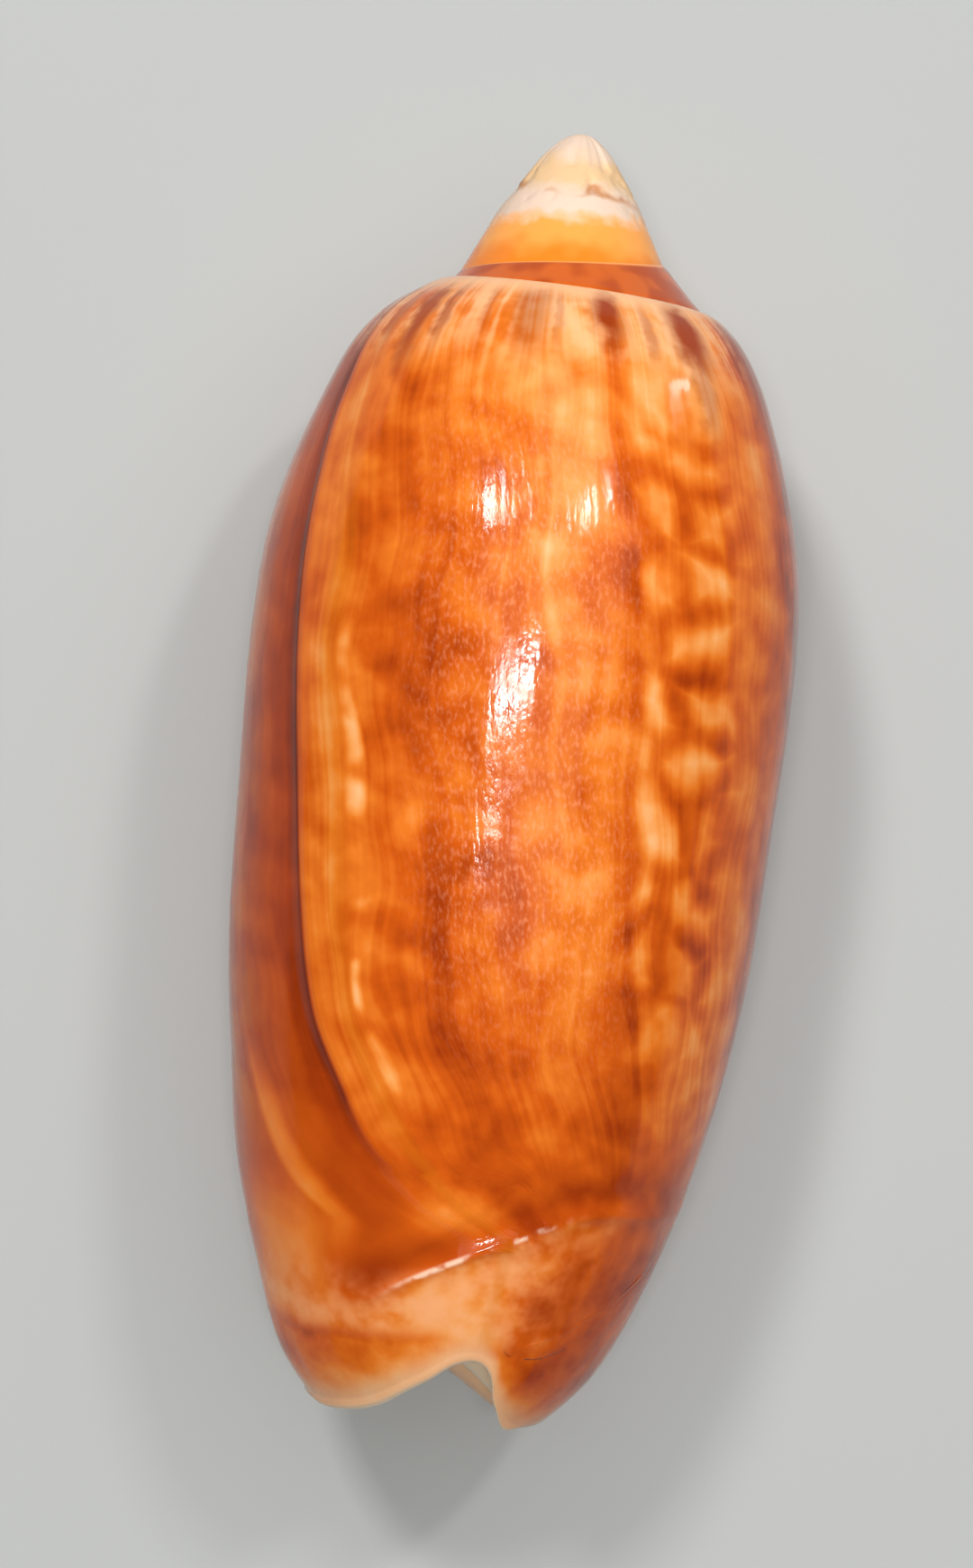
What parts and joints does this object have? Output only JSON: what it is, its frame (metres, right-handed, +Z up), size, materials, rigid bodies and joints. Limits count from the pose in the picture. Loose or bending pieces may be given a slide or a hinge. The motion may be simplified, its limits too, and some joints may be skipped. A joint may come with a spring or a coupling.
{
  "type": "olive shell",
  "caption": "Glossy orange-brown olive shell with a short worn spire, a long narrow mouth and a notched front end, lying on its mouth side.",
  "frame": {"origin": "centre of the shell's footprint, on the surface it rests on", "axes": "+Y along the shell's axis towards the spire, +Z up through the middle of its back, +X to its right side"},
  "size_m": [0.0252, 0.06, 0.0235],
  "materials": {
    "shell": "natural porcelain-like gloss, orange brown with darker growth streaks and a chalky worn apex"
  },
  "bodies": {
    "root": {"shell": "shell"}
  },
  "joints": []
}
